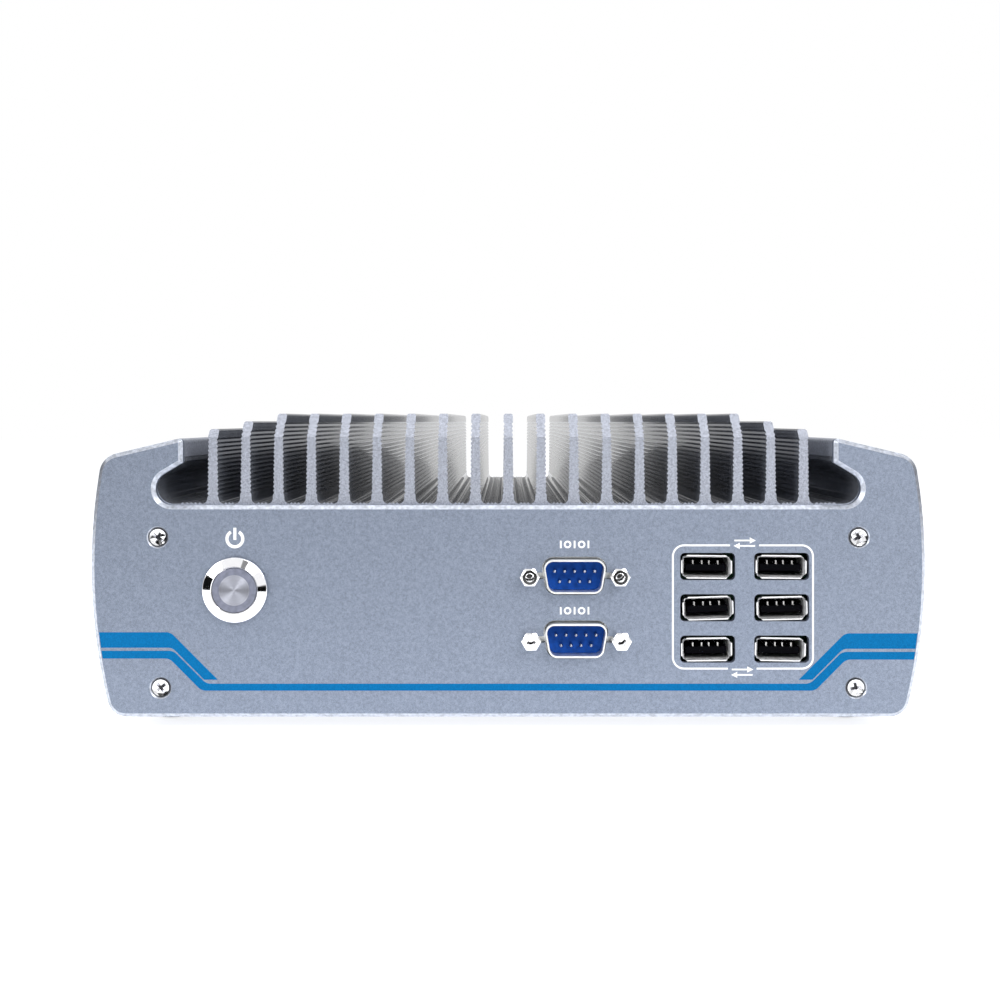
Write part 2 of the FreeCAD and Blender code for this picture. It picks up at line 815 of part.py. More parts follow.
def jackscrew(x, z):
    """Hexagonal stud that holds the port, tapped for the plug's own screw."""
    corner = jack_across_flats / 2.0 / math.cos(math.pi / 6.0)
    slope = (corner - jack_face_radius) * math.tan(math.radians(jack_chamfer_slope))
    front = Part.makeCone(jack_face_radius, corner, slope,
                          vector(0, 0, -jack_length), FreeCAD.Vector(0, 1, 0))
    rest = rod(corner, jack_length - slope, slope - jack_length)
    body = prism(6, jack_across_flats, jack_length, -jack_length).common(front.fuse(rest))
    shank = rod(jack_radius, panel + flange[2] + clinch_nut[1])
    tapped = rod(jack_tap_radius, jack_hole_depth, -jack_length)
    return fused([body, shank]).cut(tapped).translated(vector(x, z))


def jackscrew_pair(x, z):
    return [jackscrew(x + side * jack_spacing / 2.0, z) for side in (-1, 1)]


# --- USB sockets ------------------------------------------------------------------------------


def rounded_wire(width, height, radius, y):
    solid = rounded_box(width, height, radius, 1.0, y)
    ends = [item for item in solid.Faces if abs(item.BoundBox.YMax - y) < 1e-6]
    return ends[0].OuterWire


def flared_prism(inset):
    """Outside (inset 0) or inside of a socket shell, with its flared mouth."""
    sizes = []
    for width, height, radius in (usb_mouth, usb_shell):
        sizes.append((width - 2.0 * inset, height - 2.0 * inset, radius - inset))
    front = rounded_wire(*sizes[0], usb_recess)
    neck = rounded_wire(*sizes[1], usb_recess + usb_flare)
    flare = Part.makeLoft([front, neck], True, True)
    tube = rounded_box(*sizes[1], usb_depth - usb_flare, usb_recess + usb_flare)
    return flare.fuse(tube)


def usb_socket_shell():
    """Folded steel shell; its flared mouth is slit at the corners into four lips."""
    width, height, _ = usb_mouth
    slits = []
    for side in (-1, 1):
        for row in (-1, 1):
            slit = box(usb_corner_slit, usb_corner_slit, usb_flare, usb_recess)
            slit.rotate(FreeCAD.Vector(0, 0, 0), FreeCAD.Vector(0, 1, 0), 45.0)
            slits.append(slit.translated(vector(side * width / 2.0, row * height / 2.0)))
    return flared_prism(0.0).cut([flared_prism(usb_wall)] + slits)


def usb_socket_insert():
    width, height, radius = usb_shell
    inset = 2.0 * (usb_wall + seat_clearance / 2.0)
    end = usb_recess + usb_depth
    back = rounded_box(width - inset, height - inset, radius - inset / 2.0, usb_back, end - usb_back)
    start = usb_recess + usb_tongue_recess
    tongue = box(*usb_tongue, end - usb_back - start, start, 0.0, -usb_tongue_drop)
    return fused([back, tongue])


def usb_places():
    """Column, row, roll and offset of each front socket, left to right, top row first."""
    places = []
    for z in usb_rows:
        for x in usb_columns:
            roll, offset = usb_seating[len(places)]
            places.append((x + offset, z - usb_drop, roll))
    return places


def usb_board_box():
    """Corners of the board that carries the front sockets."""
    low_x = min(usb_columns) - usb_shell[0] / 2.0 - usb_board_margin / 2.0
    high_x = max(usb_columns) + usb_shell[0] / 2.0 + usb_board_margin / 2.0
    low_z = min(usb_rows) - usb_shell[1] / 2.0 - usb_board_margin / 2.0
    high_z = max(usb_rows) + usb_shell[1] / 2.0 + usb_board_margin / 2.0
    return low_x, high_x, low_z, high_z


def usb_board():
    low_x, high_x, low_z, high_z = usb_board_box()
    start = usb_recess + usb_depth
    return box(high_x - low_x, high_z - low_z, board, start,
               (low_x + high_x) / 2.0, (low_z + high_z) / 2.0)


def usb_board_spacers():
    low_x, high_x, low_z, high_z = usb_board_box()
    length = usb_recess + usb_depth - panel
    spacers = []
    middle = (low_x + high_x) / 2.0
    for z in (low_z + usb_spacer_margin, high_z - usb_spacer_margin):
        spacers.append(rod(spacer_radius, length, panel, middle, z))
    return spacers


# --- Rear ports ---------------------------------------------------------------------------------


def stack_middle():
    """Height of the middle of a network and USB stack, which hangs from the main board."""
    return mainboard_under - stack_can[1] / 2.0


def audio_middle():
    return mainboard_under - audio_block[1] / 2.0


def network_stack_can():
    width, height, depth = stack_can
    outer = box(width, height, depth, stack_recess)
    inner = box(width - 2.0 * can_wall, height - 2.0 * can_wall, depth - can_wall,
                stack_recess + can_wall)
    windows = []
    for offset in stack_usb_offsets:
        windows.append(box(usb_shell[0] - 2.0 * usb_wall, usb_shell[1] - 2.0 * usb_wall,
                           can_wall, stack_recess, 0.0, offset))
    lan_width, lan_height, _ = lan_opening
    windows.append(box(lan_width, lan_height, can_wall, stack_recess, 0.0, stack_lan_offset))
    return outer.cut([inner] + windows)


def network_stack_insert():
    width, height, depth = stack_can
    inset = 2.0 * can_wall + seat_clearance
    start = stack_recess + can_wall
    block = box(width - inset, height - inset, depth - can_wall, start)
    lan_width, lan_height, lan_depth = lan_opening
    cuts = [box(lan_width, lan_height, lan_depth, start, 0.0, stack_lan_offset)]
    tongues = []
    usb_cavity = usb_depth - usb_back
    for offset in stack_usb_offsets:
        cuts.append(box(usb_shell[0] - 2.0 * usb_wall, usb_shell[1] - 2.0 * usb_wall,
                        usb_cavity, start, 0.0, offset))
        tongues.append(box(*usb_tongue, usb_cavity - usb_tongue_recess,
                           start + usb_tongue_recess, 0.0, offset - usb_tongue_drop))
    return fused([block.cut(cuts)] + tongues)


def digital_video_port():
    """Small flat video socket: shell, back and tongue."""
    width, height, depth = digital_port
    inner = box(width - 2.0 * shell_wall, height - 2.0 * shell_wall,
                depth - usb_back, stack_recess)
    shell = box(width, height, depth, stack_recess).cut(inner)
    start = stack_recess + digital_tongue_recess
    tongue = box(*digital_tongue, depth - usb_back - digital_tongue_recess, start)
    return fused([shell, tongue])


def digital_video_mount():
    """Plastic foot that stands the flat video socket off the main board."""
    width, height, depth = digital_port
    top = mainboard_under - serial_rows[0]
    rise = top - height / 2.0
    return box(width, rise, depth - panel, stack_recess + panel, 0.0, height / 2.0 + rise / 2.0)


def audio_jack_block():
    width, height, depth = audio_block
    solids = [box(width, height, depth, panel)]
    bores = []
    for offset in audio_offsets:
        solids.append(rod(audio_collar_radius, panel, 0.0, 0.0, offset))
        bores.append(rod(audio_bore_radius, depth, 0.0, 0.0, offset))
    return fused(solids).cut(bores)


def power_inlet():
    """Socket for a two-way screw-terminal plug, snapped into the panel from outside."""
    thick = inlet_flange[2]
    cavity = box(*inlet_cavity, -thick)
    body = fused([box(*inlet_flange, -thick), box(*inlet_body)]).cut(cavity)
    side, length = inlet_pin
    start = inlet_cavity[2] - thick - length
    pins = [box(side, side, length, start, hand * inlet_pin_pitch / 2.0, -inlet_pin_drop)
            for hand in (-1, 1)]
    return fused([body] + pins)


# --- Inside ---------------------------------------------------------------------------------------


def plate(width, depth, thick, low, x=0.0, y=0.0):
    """Flat piece lying level, its underside at low."""
    corner = FreeCAD.Vector(x - width / 2.0, y - depth / 2.0, low)
    return Part.makeBox(width, depth, thick, corner)


def mainboard_screw_places():
    across, along = mainboard_holes
    rear = mainboard_y + mainboard_side / 2.0 - mainboard_rear_hole
    return [(side * across / 2.0, y) for side in (-1, 1) for y in (rear - along, rear)]


def motherboard():
    sheet = plate(mainboard_side, mainboard_side, board, mainboard_under, 0.0, mainboard_y)
    holes = []
    for x, y in mainboard_screw_places():
        base = FreeCAD.Vector(x, y, mainboard_under)
        holes.append(Part.makeCylinder(mainboard_hole_radius, board, base))
    return sheet.cut(holes)


def upright(solid, x, y, low):
    """Stand a piece drawn along Y from Y = 0 on its end."""
    turned = solid.rotated(FreeCAD.Vector(0, 0, 0), FreeCAD.Vector(1, 0, 0), 90.0)
    return turned.translated(FreeCAD.Vector(x, y, low))


def motherboard_spacer(x, y):
    post = prism(6, mainboard_spacer_flats, mainboard_spacer)
    hole = rod(screw_radius + thread_clearance, mainboard_spacer)
    return upright(post.cut(hole), x, y, mainboard_top)


def motherboard_screw(x, y):
    """Pan head under the board, shank up into the spacer."""
    head = rod(screw_head_radius, mainboard_screw_head)
    shank = rod(screw_radius, board + mainboard_spacer - mainboard_screw_play, mainboard_screw_head)
    return upright(fused([head, shank]), x, y, mainboard_under - mainboard_screw_head)


processor_y = mainboard_y + processor_offset
processor_top = mainboard_top + processor_size[2]
pad_top = processor_top + pad_thickness
memory_y = mainboard_y + memory_offset


def processor():
    width, depth, thick = processor_size
    return plate(width, depth, thick, mainboard_top, 0.0, processor_y)


def thermal_pad():
    width, depth, _ = processor_size
    return plate(width, depth, pad_thickness, processor_top, 0.0, processor_y)


def heat_spreader():
    return plate(spreader_side, spreader_side, slab_under - pad_top, pad_top, 0.0, processor_y)


def memory_module():
    width, depth, thick = memory
    return plate(width, depth, thick, mainboard_under - memory_drop, 0.0, memory_y)


def memory_socket_body():
    """Socket along the module's front edge, slotted for it."""
    width, depth, height = memory_socket
    y = memory_y - memory[1] / 2.0
    body = plate(width, depth, height, mainboard_under - height, 0.0, y)
    gap = seat_clearance
    slot = plate(memory[0] + 2.0 * gap, memory[1] + gap, memory[2] + 2.0 * gap,
                 mainboard_under - memory_drop - gap, 0.0, memory_y - gap / 2.0)
    return body.cut(slot)


def solid_state_drive():
    width, depth, thick = drive
    return plate(width, depth, thick, wall, drive_x)


# --- Write every node ------------------------------------------------------------------------------

save("heat_sink_cover", heat_sink_cover())
save("base_chassis", base_chassis())
save("front_panel", placed(front_panel(), 0.0, 0.0))
save("rear_panel", placed(rear_panel(), 0.0, 0.0, rear=True))
save("front_panel_screws", *[placed(panel_screw(), x, z) for x, z in screw_places()])
save("rear_panel_screws", *[placed(panel_screw(), x, z, rear=True) for x, z in screw_places()])
for row, end in (("front", -1), ("rear", 1)):
    for side, hand in (("left", -1), ("right", 1)):
        x = hand * (half_width - foot_inset[0])
        save("foot_" + row + "_" + side, foot(x, end * (end_y - foot_inset[1])))

save("switch_bezel", placed(switch_bezel(), *switch_at))
save("switch_button", placed(switch_button(), *switch_at))
save("switch_light_ring", placed(switch_light_ring(), *switch_at))
save("switch_gasket", placed(switch_gasket(), *switch_at))
save("switch_nut", placed(switch_nut(), *switch_at))
save("switch_contact_block", placed(switch_contact_block(), *switch_at))

front_pins = []
front_jackscrews = []
for name, x, z in zip(("upper", "lower"), serial_column, serial_rows):
    save("front_serial_shell_" + name, placed(serial_shell([0.0]), x, z))
    save("front_serial_insert_" + name, placed(serial_insert([0.0]), x, z))
    front_pins += [placed(pin, x, z) for pin in serial_pins()]
    front_jackscrews += [placed(stud, x, z) for stud in jackscrew_pair(0.0, 0.0)]
save("front_serial_pins", *front_pins)
save("front_serial_jackscrews", *front_jackscrews)

for number, (x, z, roll) in enumerate(usb_places(), start=1):
    save("usb_shell_" + str(number), placed(usb_socket_shell(), x, z, roll=roll))
    save("usb_insert_" + str(number), placed(usb_socket_insert(), x, z, roll=roll))
save("usb_board", placed(usb_board(), 0.0, 0.0))
save("usb_board_spacers", *[placed(post, 0.0, 0.0) for post in usb_board_spacers()])

rear_pins = []
rear_jackscrews = []
rear_offsets = [0.0, serial_rows[1] - serial_rows[0]]
for name, x in zip(("right", "left"), rear_serial_columns):
    save("rear_serial_shell_" + name, placed(serial_shell(rear_offsets), x, serial_rows[0], rear=True))
    save("rear_serial_insert_" + name, placed(serial_insert(rear_offsets), x, serial_rows[0], rear=True))
    for offset in rear_offsets:
        rear_pins += [placed(pin, x, serial_rows[0], rear=True) for pin in serial_pins(offset)]
        pair = jackscrew_pair(0.0, offset)
        rear_jackscrews += [placed(stud, x, serial_rows[0], rear=True) for stud in pair]
monitor_pair = jackscrew_pair(0.0, 0.0)
rear_jackscrews += [placed(stud, monitor_port_x, serial_rows[0], rear=True) for stud in monitor_pair]
save("rear_serial_pins", *rear_pins)
save("rear_jackscrews", *rear_jackscrews)
save("monitor_port_shell", placed(serial_shell([0.0]), monitor_port_x, serial_rows[0], rear=True))
monitor_insert = serial_insert([0.0], monitor_face_recess)
save("monitor_port_insert", placed(monitor_insert, monitor_port_x, serial_rows[0], rear=True))
digital_solids = fused([digital_video_port(), digital_video_mount()])
save("digital_video_port", placed(digital_solids, digital_port_x, serial_rows[0], rear=True))
for name, x in zip(("left", "right"), network_columns):
    save("network_stack_can_" + name, placed(network_stack_can(), x, stack_middle(), rear=True))
    save("network_stack_insert_" + name, placed(network_stack_insert(), x, stack_middle(), rear=True))
save("audio_jack_block", placed(audio_jack_block(), audio_x, audio_middle(), rear=True))
save("power_inlet", placed(power_inlet(), *inlet_at, rear=True))

save("motherboard", motherboard())
save("motherboard_spacers", *[motherboard_spacer(x, y) for x, y in mainboard_screw_places()])
save("motherboard_screws", *[motherboard_screw(x, y) for x, y in mainboard_screw_places()])
save("processor", processor())
save("thermal_pad", thermal_pad())
save("heat_spreader", heat_spreader())
save("memory_module", memory_module())
save("memory_socket", memory_socket_body())
save("solid_state_drive", solid_state_drive())
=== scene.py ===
import math

import bmesh
import bpy
from mathutils import Matrix, Vector


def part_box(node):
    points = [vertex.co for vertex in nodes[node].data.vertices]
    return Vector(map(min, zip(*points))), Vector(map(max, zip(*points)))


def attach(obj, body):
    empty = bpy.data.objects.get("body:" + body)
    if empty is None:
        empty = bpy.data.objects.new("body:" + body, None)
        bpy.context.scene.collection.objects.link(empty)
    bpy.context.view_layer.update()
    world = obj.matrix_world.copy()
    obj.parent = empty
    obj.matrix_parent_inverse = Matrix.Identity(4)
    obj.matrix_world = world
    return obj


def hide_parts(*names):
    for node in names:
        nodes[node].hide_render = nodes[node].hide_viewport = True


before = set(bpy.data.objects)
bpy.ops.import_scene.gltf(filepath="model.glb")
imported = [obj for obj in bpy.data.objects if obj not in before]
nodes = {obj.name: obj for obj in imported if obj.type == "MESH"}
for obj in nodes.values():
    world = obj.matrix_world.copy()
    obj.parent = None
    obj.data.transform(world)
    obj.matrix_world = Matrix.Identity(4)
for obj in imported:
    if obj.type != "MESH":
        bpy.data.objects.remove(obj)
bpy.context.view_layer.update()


# --- Studio ---------------------------------------------------------------------------
# A pale table under the computer, in a white room. A wide strong lamp stands over the front
# at the right, a small one at the left and a weak one overhead. The camera looks level.

scene = bpy.context.scene
scene.view_settings.view_transform = "Standard"

camera = bpy.data.objects.new("camera", bpy.data.cameras.new("camera"))
scene.collection.objects.link(camera)
camera.location = (-0.0005, -0.501, 0.0865)
camera.rotation_euler = (math.pi / 2.0, 0.0, 0.0)
camera.data.lens = 52.0
camera.data.sensor_width = 36.0
camera.data.shift_x = -0.0065
camera.data.shift_y = -0.079
camera.data.clip_start = 0.01
camera.data.clip_end = 50.0
scene.camera = camera


def wire(tree, source, target):
    """Join an output to an input."""
    tree.links.new(source, target)


def blank_finish(name):
    """A new material with its node tree and its one shader."""
    finish = bpy.data.materials.new(name)
    finish.use_nodes = True
    return finish, finish.node_tree, finish.node_tree.nodes["Principled BSDF"]


def table_finish():
    """Matt white board: plain white to the camera where nothing shades it."""
    finish, tree, surface = blank_finish("table_white")
    surface.inputs["Base Color"].default_value = (0.86, 0.87, 0.88, 1.0)
    surface.inputs["Roughness"].default_value = 0.9
    surface.inputs["Specular IOR Level"].default_value = 0.0
    glow = tree.nodes.new("ShaderNodeEmission")
    glow.inputs["Color"].default_value = (1.0, 1.0, 1.0, 1.0)
    glow.inputs["Strength"].default_value = 0.75
    lit = tree.nodes.new("ShaderNodeAddShader")
    wire(tree, surface.outputs["BSDF"], lit.inputs[0])
    wire(tree, glow.outputs["Emission"], lit.inputs[1])
    mix = tree.nodes.new("ShaderNodeMixShader")
    wire(tree, seen_directly(tree), mix.inputs["Fac"])
    wire(tree, surface.outputs["BSDF"], mix.inputs[1])
    wire(tree, lit.outputs["Shader"], mix.inputs[2])
    wire(tree, mix.outputs["Shader"], tree.nodes["Material Output"].inputs["Surface"])
    return finish


def seen_directly(tree):
    """1 for what the camera sees, straight on, in metal or through glass."""
    path = tree.nodes.new("ShaderNodeLightPath")
    either = tree.nodes.new("ShaderNodeMath")
    either.operation = "MAXIMUM"
    wire(tree, path.outputs["Is Camera Ray"], either.inputs[0])
    wire(tree, path.outputs["Is Glossy Ray"], either.inputs[1])
    every = tree.nodes.new("ShaderNodeMath")
    every.operation = "MAXIMUM"
    wire(tree, either.outputs["Value"], every.inputs[0])
    wire(tree, path.outputs["Is Transmission Ray"], every.inputs[1])
    return every.outputs["Value"]


def studio_table(name, low, high, finish):
    """A flat board at floor level, between two corners seen from above."""
    mesh = bmesh.new()
    bmesh.ops.create_grid(mesh, x_segments=1, y_segments=1, size=0.5)
    bmesh.ops.scale(mesh, vec=(high[0] - low[0], high[1] - low[1], 1.0), verts=mesh.verts)
    bmesh.ops.translate(mesh, vec=((high[0] + low[0]) / 2.0, (high[1] + low[1]) / 2.0, 0.0),
                        verts=mesh.verts)
    data = bpy.data.meshes.new(name)
    mesh.to_mesh(data)
    mesh.free()
    data.materials.append(finish)
    sheet = bpy.data.objects.new(name, data)
    scene.collection.objects.link(sheet)


# The board ends a little in front of the computer.
table_low = (-4.0, -0.33)
table_high = (4.0, 6.0)
studio_table("table", table_low, table_high, table_finish())


def scaled(tree, source, factor, offset):
    """factor times source plus offset."""
    node = tree.nodes.new("ShaderNodeMath")
    node.operation = "MULTIPLY_ADD"
    wire(tree, source, node.inputs[0])
    node.inputs[1].default_value = factor
    node.inputs[2].default_value = offset
    return node.outputs["Value"]


def joined(tree, operation, first, second):
    """Two values joined by a sum, a product or the like."""
    node = tree.nodes.new("ShaderNodeMath")
    node.operation = operation
    wire(tree, first, node.inputs[0])
    wire(tree, second, node.inputs[1])
    return node.outputs["Value"]


def size_of(tree, source):
    """The value without its sign."""
    node = tree.nodes.new("ShaderNodeMath")
    node.operation = "ABSOLUTE"
    wire(tree, source, node.inputs[0])
    return node.outputs["Value"]


def window(tree, source, zero_at, one_at):
    """Ramp from 0 to 1 between two values, held beyond them."""
    node = tree.nodes.new("ShaderNodeMapRange")
    node.inputs["From Min"].default_value = zero_at
    node.inputs["From Max"].default_value = one_at
    wire(tree, source, node.inputs["Value"])
    return node.outputs["Result"]


def axes_of(tree, kind):
    """X, Y and Z of one of the texture coordinates."""
    where = tree.nodes.new("ShaderNodeTexCoord")
    parts = tree.nodes.new("ShaderNodeSeparateXYZ")
    wire(tree, where.outputs[kind], parts.inputs["Vector"])
    return parts.outputs


def studio_world():
    """White to the camera and to metal, which also sees a dark end in front and dark sides behind."""
    world = bpy.data.worlds.new("studio")
    scene.world = world
    world.use_nodes = True
    tree = world.node_tree
    room = tree.nodes["Background"]
    room.inputs["Color"].default_value = (0.93, 0.96, 1.0, 1.0)
    room.inputs["Strength"].default_value = 0.36
    white = tree.nodes.new("ShaderNodeBackground")
    white.inputs["Color"].default_value = (1.0, 1.0, 1.0, 1.0)
    path = tree.nodes.new("ShaderNodeLightPath")
    # Every value below is a part of the direction that a ray leaves in, from -1 to 1.
    across, away, up = axes_of(tree, "Generated")
    # A low dark band in front that leans down to the right, much taller on the left.
    lean, level = -0.17, -0.005
    taper_across, taper_each_side = 0.22, -0.16
    band_ends, band_full = 0.14, 0.10
    front_starts, front_full = -0.42, -0.55
    middle = scaled(tree, across, lean, level)
    off_middle = size_of(tree, joined(tree, "SUBTRACT", up, middle))
    taller = joined(tree, "ADD", scaled(tree, across, taper_across, 0.0),
                    scaled(tree, size_of(tree, across), taper_each_side, 0.0))
    low = window(tree, joined(tree, "ADD", off_middle, taller), band_ends, band_full)
    ahead = window(tree, away, front_starts, front_full)
    # A dim gap between the two front lamps, over the camera.
    gap_middle, gap_ends, gap_full = 0.075, 0.075, 0.055
    gap_starts_up, gap_full_up, gap_dimness = 0.34, 0.40, 0.72
    beside = size_of(tree, scaled(tree, across, 1.0, -gap_middle))
    gap = joined(tree, "MULTIPLY", window(tree, beside, gap_ends, gap_full),
                 window(tree, up, gap_starts_up, gap_full_up))
    # White again just right of the camera.
    screen_middle, screen_ends, screen_full, screen_whiteness = 0.21, 0.13, 0.09, 0.85
    beside = size_of(tree, scaled(tree, across, 1.0, -screen_middle))
    screen = window(tree, beside, screen_ends, screen_full)
    low = joined(tree, "MULTIPLY", low, scaled(tree, screen, -screen_whiteness, 1.0))
    front = joined(tree, "MAXIMUM", low, scaled(tree, gap, gap_dimness, 0.0))
    front = joined(tree, "MULTIPLY", front, ahead)
    # Behind the computer the room is dark at both sides, up to a height.
    behind_starts, behind_full = 0.0, 0.2
    height_ends, height_full = 0.60, 0.35
    side_starts, side_full = 0.07, 0.20
    behind = joined(tree, "MULTIPLY", window(tree, away, behind_starts, behind_full),
                    window(tree, up, height_ends, height_full))
    beyond = joined(tree, "MULTIPLY", behind,
                    window(tree, size_of(tree, across), side_starts, side_full))
    darkest = 0.995
    mirrored = joined(tree, "MULTIPLY", joined(tree, "MAXIMUM", front, beyond),
                      path.outputs["Is Glossy Ray"])
    wire(tree, scaled(tree, mirrored, -darkest, 1.0), white.inputs["Strength"])
    mix = tree.nodes.new("ShaderNodeMixShader")
    wire(tree, seen_directly(tree), mix.inputs["Fac"])
    wire(tree, room.outputs["Background"], mix.inputs[1])
    wire(tree, white.outputs["Background"], mix.inputs[2])
    wire(tree, mix.outputs["Shader"], tree.nodes["World Output"].inputs["Surface"])


studio_world()


def soft_lamp(name, place, aim, width, height, power):
    """A flat lamp of so many metres and watts, turned towards its aim."""
    data = bpy.data.lights.new(name, "AREA")
    data.shape = "RECTANGLE"
    data.size = width
    data.size_y = height
    data.energy = power
    lamp = bpy.data.objects.new(name, data)
    scene.collection.objects.link(lamp)
    lamp.location = place
    lamp.rotation_euler = (Vector(aim) - Vector(place)).to_track_quat("-Z", "Y").to_euler()


soft_lamp("lamp_right", (0.75, -1.15, 1.1), (0.0, 0.0, 0.04), 1.5, 1.2, 25.5)
soft_lamp("lamp_left", (-0.75, -0.6, 0.5), (-0.1, 0.0, 0.04), 0.6, 0.6, 4.2)
soft_lamp("lamp_over", (0.0, 0.2, 1.6), (0.0, 0.0, 0.05), 1.2, 0.8, 4.0)


# --- Heat-sink cover and base -----------------------------------------------------------
# Two long aluminium extrusions, clear anodised with a faint blue cast. Sawn ends, roof and
# sides are bead blasted; between the fins the metal keeps the die's smooth skin, and its
# grazing reflection there is tinted dark: painted shade between the fins.


def grain_of(tree, scale, detail=2.0):
    """Fine irregular grain fixed to the piece."""
    where = tree.nodes.new("ShaderNodeTexCoord")
    grain = tree.nodes.new("ShaderNodeTexNoise")
    grain.inputs["Scale"].default_value = scale
    grain.inputs["Detail"].default_value = detail
    wire(tree, where.outputs["Object"], grain.inputs["Vector"])
    return grain.outputs["Fac"]


def two_tones(tree, source, colour, spread, low=0.35, high=0.65):
    """The colour, darker and lighter by spread as the source changes."""
    ramp = tree.nodes.new("ShaderNodeValToRGB")
    ramp.color_ramp.elements[0].position = low
    ramp.color_ramp.elements[0].color = (*[part * (1.0 - spread) for part in colour], 1.0)
    ramp.color_ramp.elements[1].position = high
    ramp.color_ramp.elements[1].color = (*[min(1.0, part * (1.0 + spread)) for part in colour], 1.0)
    wire(tree, source, ramp.inputs["Fac"])
    return ramp.outputs["Color"]


def bump_from(tree, surface, source, strength, depth_mm):
    """Relief on the surface, as high as the source."""
    bump = tree.nodes.new("ShaderNodeBump")
    bump.inputs["Strength"].default_value = strength
    bump.inputs["Distance"].default_value = depth_mm / 1000.0
    wire(tree, source, bump.inputs["Height"])
    wire(tree, bump.outputs["Normal"], surface.inputs["Normal"])


def blasted_aluminium(name, colour, roughness, spread, metallic=0.8):
    """Bead-blasted and anodised: a sparkling grain of about a quarter of a millimetre."""
    finish, tree, surface = blank_finish(name)
    surface.inputs["Metallic"].default_value = metallic
    surface.inputs["Roughness"].default_value = roughness
    grain = joined(tree, "ADD", scaled(tree, grain_of(tree, 4200.0, 3.0), 0.65, 0.0),
                   scaled(tree, grain_of(tree, 1500.0), 0.35, 0.0))
    wire(tree, two_tones(tree, grain, colour, spread, 0.4, 0.6), surface.inputs["Base Color"])
    bump_from(tree, surface, grain, 0.3, 0.04)
    return finish


def facing(tree, axis):
    """How far the surface faces along an axis, either way, from 0 to 1."""
    return size_of(tree, axes_of(tree, "Normal")[axis])


def tinted(tree, where, first, second):
    """The first colour where the mask is 0 and the second where it is 1; values or outputs."""
    blend = tree.nodes.new("ShaderNodeMix")
    blend.data_type = "RGBA"
    wire(tree, where, blend.inputs[0])
    # Inputs 6 and 7 of this node are its two colours, and output 2 is the blended one.
    for socket, colour in ((blend.inputs[6], first), (blend.inputs[7], second)):
        if isinstance(colour, tuple):
            socket.default_value = (*colour, 1.0)
        else:
            wire(tree, colour, socket)
    return blend.outputs[2]


def second_finish(finish, where, colour, roughness, grazing=(1.0, 1.0, 1.0)):
    """Changes to another colour, roughness and grazing reflection where the mask is 1."""
    tree = finish.node_tree
    surface = tree.nodes["Principled BSDF"]
    first = surface.inputs["Base Color"].links[0].from_socket
    wire(tree, tinted(tree, where, first, colour), surface.inputs["Base Color"])
    gloss = tree.nodes.new("ShaderNodeMapRange")
    gloss.inputs["To Min"].default_value = surface.inputs["Roughness"].default_value
    gloss.inputs["To Max"].default_value = roughness
    wire(tree, where, gloss.inputs["Value"])
    wire(tree, gloss.outputs["Result"], surface.inputs["Roughness"])
    wire(tree, tinted(tree, where, (1.0, 1.0, 1.0), grazing), surface.inputs["Specular Tint"])
    # The blasted texture stops where the other finish starts.
    bump = surface.inputs["Normal"].links[0].from_node
    wire(tree, scaled(tree, where, -bump.inputs["Strength"].default_value,
                      bump.inputs["Strength"].default_value), bump.inputs["Strength"])


def between_fins(tree, outer_x, roof_z, roof_x):
    """Mask, 1 on the walls and floors of the channels and under the ears."""
    hair = 0.0001
    across, _, up = axes_of(tree, "Object")
    off_middle = size_of(tree, across)
    lengthwise = window(tree, facing(tree, "Y"), 0.3, 0.1)
    inside = window(tree, off_middle, outer_x + hair, outer_x)
    above = joined(tree, "MULTIPLY", window(tree, up, roof_z, roof_z + hair),
                   window(tree, off_middle, roof_x, roof_x + hair))
    below = scaled(tree, above, -1.0, 1.0)
    return joined(tree, "MULTIPLY", joined(tree, "MULTIPLY", lengthwise, inside), below)


def channel_ridges(finish, where):
    """Fine lines from the die along the floors of the channels, and painted shade on those floors."""
    pitch, depth, duller = 0.0008, 0.00012, 0.13
    tree = finish.node_tree
    surface = tree.nodes["Principled BSDF"]
    wave = tree.nodes.new("ShaderNodeMath")
    wave.operation = "SINE"
    wire(tree, scaled(tree, axes_of(tree, "Object")["X"], math.tau / pitch, 0.0), wave.inputs[0])
    ridges = tree.nodes.new("ShaderNodeBump")
    ridges.inputs["Distance"].default_value = depth
    wire(tree, wave.outputs["Value"], ridges.inputs["Height"])
    floor = joined(tree, "MULTIPLY", where, window(tree, facing(tree, "Z"), 0.7, 0.9))
    wire(tree, floor, ridges.inputs["Strength"])
    # The floors are duller than the fins' sides.
    gloss = surface.inputs["Roughness"].links[0].from_socket
    wire(tree, joined(tree, "ADD", gloss, scaled(tree, floor, duller, 0.0)), surface.inputs["Roughness"])
    # Painted shade: the floors' grazing reflection is tinted almost black.
    grazing = surface.inputs["Specular Tint"].links[0].from_socket
    wire(tree, tinted(tree, floor, grazing, (0.02, 0.02, 0.03)), surface.inputs["Specular Tint"])
    wire(tree, surface.inputs["Normal"].links[0].from_socket, ridges.inputs["Normal"])
    wire(tree, ridges.outputs["Normal"], surface.inputs["Normal"])


def dress(node_name, finish):
    """Give a carried-over piece its finish."""
    piece = nodes[node_name]
    piece.data.materials.clear()
    piece.data.materials.append(finish)


anodised = (0.36, 0.38, 0.44)
channels_reach_x = 0.0985
ear_roof_z = 0.0765
ear_roof_x = 0.0900
fin_finish = blasted_aluminium("fin_aluminium", anodised, 0.5, 0.30, 0.6)
die_skin = two_tones(fin_finish.node_tree, grain_of(fin_finish.node_tree, 260.0, 4.0),
                     (0.36, 0.38, 0.43), 0.10)
channels = between_fins(fin_finish.node_tree, channels_reach_x, ear_roof_z, ear_roof_x)
# Painted shade: in the channels the grazing reflection is tinted dark.
second_finish(fin_finish, channels, die_skin, 0.10, (0.05, 0.055, 0.07))
channel_ridges(fin_finish, channels)
dress("heat_sink_cover", fin_finish)
dress("base_chassis", blasted_aluminium("case_aluminium", anodised, 0.5, 0.30, 0.6))


